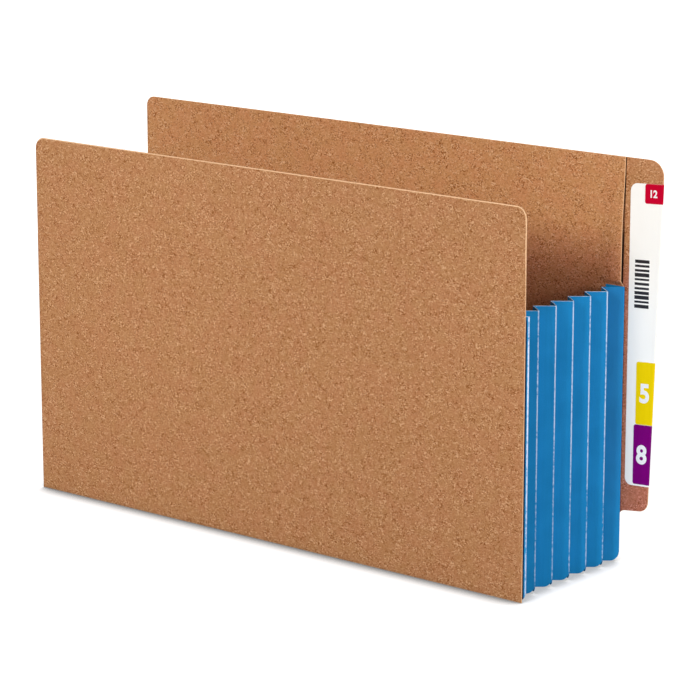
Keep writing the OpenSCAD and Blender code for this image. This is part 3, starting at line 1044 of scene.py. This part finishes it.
def makeFlakeTree(sizes):
    inputs = {"Vector": ["Fold Foot"], "Int": ["Flake Count", "Seed"], "Material": ["Material"],
              "Float": ["Fold Height", "Flake Length", "Flake Width", "Share Kept"]}
    tree, given, result = newTree("foldFlakes", "GeometryNodeTree", inputs, {"Geometry": ["Geometry"]})
    seed, count = given["Seed"], given["Flake Count"]
    pitch = over(tree, given["Fold Height"], count)
    drift = times(tree, pitch, randomFloat(tree, -sizes["drift"], sizes["drift"], seed))
    moved = grow(tree, "SetPosition", {
        "Geometry": uprightLine(tree, count, given["Fold Foot"], pitch),
        "Offset": combine(tree, 0.0, 0.0, drift),
    })
    flake = grow(tree, "MeshIcoSphere", {"Radius": 0.5, "Subdivisions": 1})
    long = randomFloat(tree, sizes["shortest"], 1.0, plus(tree, seed, 1))
    wide = randomFloat(tree, sizes["thinnest"], 1.0, plus(tree, seed, 2))
    length, width = times(tree, given["Flake Length"], long), times(tree, given["Flake Width"], wide)
    chance = {"Probability": given["Share Kept"], "Seed": plus(tree, seed, 3)}
    kept = addNode(tree, "FunctionNodeRandomValue", chance, data_type="BOOLEAN").outputs[3]
    spread = grow(tree, "InstanceOnPoints", {
        "Points": moved, "Instance": flake, "Selection": kept, "Scale": combine(tree, width, width, length),
    })
    return finishTree(tree, spread, given["Material"], result)


def makeFlakes(side, fold, body, sizes, tree):
    line = foldPoint(side, fold)
    outward = 1 if side == "right" else -1
    foot, endGap = pleatLow.z + gussetSizes["corner"] * mm, sizes["endGap"] * mm
    height = pleatHigh.z - foot - 2 * endGap
    piece = growPiece(f"{side}FoldFlakes{fold:02d}", tree, {
        "Fold Foot": Vector((line.x + outward * gussetSheet * sizes["sunk"], line.y, foot + endGap)),
        "Fold Height": height, "Flake Count": int(height / mm * sizes["perMillimetre"]),
        "Flake Length": sizes["length"] * mm, "Flake Width": sizes["width"] * mm,
        "Share Kept": sizes["shareKept"], "Seed": sizes["seed"] + fold * sizes["seedStep"] + outward,
        "Material": foldFlake,
    })
    return place(piece, body, "gusset")


flakeTree = makeFlakeTree(flakeSizes)
for side in ("right", "left"):
    for fold in gussetSizes["wornFolds"]:
        body = f"{side}_pleat_{fold}" if fold else "front"
        makeFlakes(side, fold, body, flakeSizes, flakeTree)

# Filing mark on the carrier label: plain bars, measured from the front board's lower left corner
barSizes = {
    "left": 384, "right": 394, "foot": 154, "top": 183, "count": 11, "thin": 1.1, "thick": 2.4,
    "depth": 0.02, "seed": 12,
}


def makeBarTree():
    inputs = {"Vector": ["First Bar"], "Int": ["Bar Count", "Seed"], "Material": ["Material"],
              "Float": ["Pitch", "Bar Length", "Thin Bar", "Thick Bar", "Print Depth", "Tilt"]}
    tree, given, result = newTree("filingBars", "GeometryNodeTree", inputs, {"Geometry": ["Geometry"]})
    thick = randomFloat(tree, given["Thin Bar"], given["Thick Bar"], given["Seed"])
    spread = grow(tree, "InstanceOnPoints", {
        "Points": uprightLine(tree, given["Bar Count"], given["First Bar"], given["Pitch"]),
        "Instance": grow(tree, "MeshCube", {"Size": (1, 1, 1)}),
        "Rotation": combine(tree, 0.0, given["Tilt"], 0.0),
        "Scale": combine(tree, given["Bar Length"], given["Print Depth"], thick),
    })
    return finishTree(tree, spread, given["Material"], result)


def makeBars(sizes):
    pitch = (sizes["top"] - sizes["foot"]) / sizes["count"]
    middle = frontLow.x + (sizes["left"] + sizes["right"]) / 2 * mm
    piece = growPiece("filingBars", makeBarTree(), {
        "First Bar": Vector((middle, carrierLow.y, (sizes["foot"] + pitch / 2) * mm)),
        "Pitch": pitch * mm, "Bar Count": sizes["count"],
        "Bar Length": (sizes["right"] - sizes["left"]) * mm, "Thin Bar": sizes["thin"] * mm,
        "Thick Bar": sizes["thick"] * mm, "Print Depth": sizes["depth"] * mm, "Tilt": -labelTilt,
        "Seed": sizes["seed"], "Material": inkBlack,
    })
    return place(piece, "back", "carrier_label")


makeBars(barSizes)
print("fold flakes and filing bars made")

# Plain digits on the colour labels
digitSizes = {"height": 11.7, "narrow": 0.95, "weight": 0.035, "depth": 0.02, "merge": 1e-5}


def makeDigit(name, text, node, sizes):
    low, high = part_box(node)
    curve = adjust(bpy.data.curves.new(name, "FONT"), body=text, align_x="CENTER", align_y="CENTER",
                   offset=sizes["weight"], extrude=0.5)
    writer = addObject(name + "Writer", curve)
    bpy.context.view_layer.update()
    mesh = bpy.data.meshes.new_from_object(writer.evaluated_get(bpy.context.evaluated_depsgraph_get()))
    bpy.data.objects.remove(writer)
    faceOutward(mesh, sizes["merge"])
    xs, ys = [v.co.x for v in mesh.vertices], [v.co.y for v in mesh.vertices]
    scale = sizes["height"] * mm / (max(ys) - min(ys))
    centreX, centreY = (max(xs) + min(xs)) / 2, (max(ys) + min(ys)) / 2
    middleZ = (low.z + high.z) / 2
    middleX = (low.x + tabEdge(middleZ)) / 2
    for vert in mesh.vertices:
        u, v, depth = vert.co
        x = middleX + (u - centreX) * scale * sizes["narrow"]
        z = middleZ + (v - centreY) * scale + tiltRise(x) - tiltRise(middleX)
        vert.co = (x, low.y - depth * sizes["depth"] * mm, z)
    mesh.materials.clear()
    mesh.materials.append(inkWhite)
    return place(addObject(name, mesh), "back", node)


makeDigit("upperDigit", "5", "upper_colour_label", digitSizes)
makeDigit("lowerDigit", "8", "lower_colour_label", digitSizes)
makeDigit("periodDigits", "12", "period_label", {**digitSizes, "height": 4.5})
print("digits made")

# Pale floor, which keeps the shadow and a darker line of contact; it is lighter under the right gusset
floorLook = {
    "half": 9.0, "drop": 0.1, "pale": (0.5, 0.5, 0.5, 1.0), "lift": 1.66, "liftFar": 1.95, "far": (0.5, 2.2),
    "contactReach": 0.022, "contact": (0.4, 0.92), "contactDark": 0.12, "endDark": 0.52,
    "endRun": 0.04, "behindFrom": -1, "behindTo": 2, "samples": 16,
}


def seenBy(tree, *rays):
    # 1 for rays of these kinds, 0 for the others
    path = addNode(tree, "ShaderNodeLightPath").outputs
    seen = path[f"Is {rays[0]} Ray"]
    for ray in rays[1:]:
        seen = larger(tree, seen, path[f"Is {ray} Ray"])
    return seen


def makeFloor(look):
    half, level = look["half"], -look["drop"] * mm
    corners = [(-half, -half, level), (half, -half, level), (half, half, level), (-half, half, level)]
    mesh = bpy.data.meshes.new("floor")
    mesh.from_pydata(corners, [], [(0, 1, 2, 3)])
    material, tree = newMaterial("paleFloor")[:2]
    tree.nodes.clear()
    seen = seenBy(tree, "Camera", "Glossy")
    reach = {"Distance": look["contactReach"]}
    contact = addNode(tree, "ShaderNodeAmbientOcclusion", reach, samples=look["samples"]).outputs["AO"]
    spot = addNode(tree, "ShaderNodeTexCoord").outputs["Object"]
    x, y = axes(tree, spot)[:2]
    atEnd = ramp(tree, x, frontHigh.x - look["endRun"], frontHigh.x - look["endRun"] / 2)
    behind = ramp(tree, y, frontLow.y + look["behindFrom"] * mm, frontLow.y + look["behindTo"] * mm)
    darkest = ramp(tree, times(tree, atEnd, behind), 0.0, 1.0, look["contactDark"], look["endDark"])
    clear = ramp(tree, contact, *look["contact"], darkest, 1.0)
    colour = mixColour(tree, 1.0, look["pale"], clear, blend="MULTIPLY")
    paper = addNode(tree, "ShaderNodeBsdfDiffuse", {"Color": colour})
    away = addNode(tree, "ShaderNodeVectorMath", {0: spot}, operation="LENGTH").outputs["Value"]
    lift = ramp(tree, away, *look["far"], look["lift"], look["liftFar"])
    glow = addNode(tree, "ShaderNodeEmission", {"Color": colour, "Strength": times(tree, seen, lift)})
    both = addNode(tree, "ShaderNodeAddShader", {0: paper.outputs[0], 1: glow.outputs[0]})
    addNode(tree, "ShaderNodeOutputMaterial", {"Surface": both.outputs[0]})
    mesh.materials.append(material)
    addObject("floor", mesh)


# Soft studio light: places and sizes in metres, power in watts
lightLook = {
    "sky": 0.25, "aim": (0, 0, 0.1),
    "lamps": [
        {"name": "keySoft", "place": (0.32, -2.6, 1.32), "size": 0.95, "power": 49},
        {"name": "sideSoft", "place": (2.7, -1.05, 0.85), "size": 0.9, "power": 38},
        {"name": "rearSoft", "place": (-1.1, 2.6, 1.1), "size": 1.1, "power": 44},
    ],
}


def aim(holder, spot, direction):
    turn = direction.to_track_quat("-Z", "Y")
    adjust(holder, location=spot, rotation_mode="QUATERNION", rotation_quaternion=turn)


def makeLight(look):
    world = bpy.data.worlds.new("studio")
    bpy.context.scene.world = world
    world.use_nodes = True
    tree = world.node_tree
    background = tree.nodes["Background"].inputs
    seen = seenBy(tree, "Camera", "Glossy", "Transmission")
    background["Color"].default_value = (1, 1, 1, 1)
    feed(tree, plus(tree, look["sky"], times(tree, seen, 1 - look["sky"])), background["Strength"])
    for lamp in look["lamps"]:
        data = bpy.data.lights.new(lamp["name"], "AREA")
        adjust(data, shape="DISK", size=lamp["size"], energy=lamp["power"])
        spot = Vector(lamp["place"])
        aim(addObject(lamp["name"], data), spot, Vector(look["aim"]) - spot)


# Camera at the photograph's place, fitted to the front board's corners
cameraLook = {
    "place": (1152.67, -1375.92, 528.8), "azimuth": 39.67, "elevation": 13.111, "lens": 156.6, "sensor": 36,
    "clipStart": 0.05, "clipEnd": 50,
}


def makeCamera(look):
    azimuth, elevation = math.radians(look["azimuth"]), math.radians(look["elevation"])
    level = math.cos(elevation)
    back = Vector((math.sin(azimuth) * level, -math.cos(azimuth) * level, math.sin(elevation)))
    data = adjust(bpy.data.cameras.new("photoView"), sensor_width=look["sensor"], lens=look["lens"],
                  clip_start=look["clipStart"], clip_end=look["clipEnd"])
    camera = addObject("photoView", data)
    aim(camera, Vector(look["place"]) * mm, -back)
    bpy.context.scene.camera = camera


makeFloor(floorLook)
makeLight(lightLook)
makeCamera(cameraLook)
bpy.context.scene.view_settings.view_transform = "Standard"
print("floor, light and camera made")

bpy.context.view_layer.update()
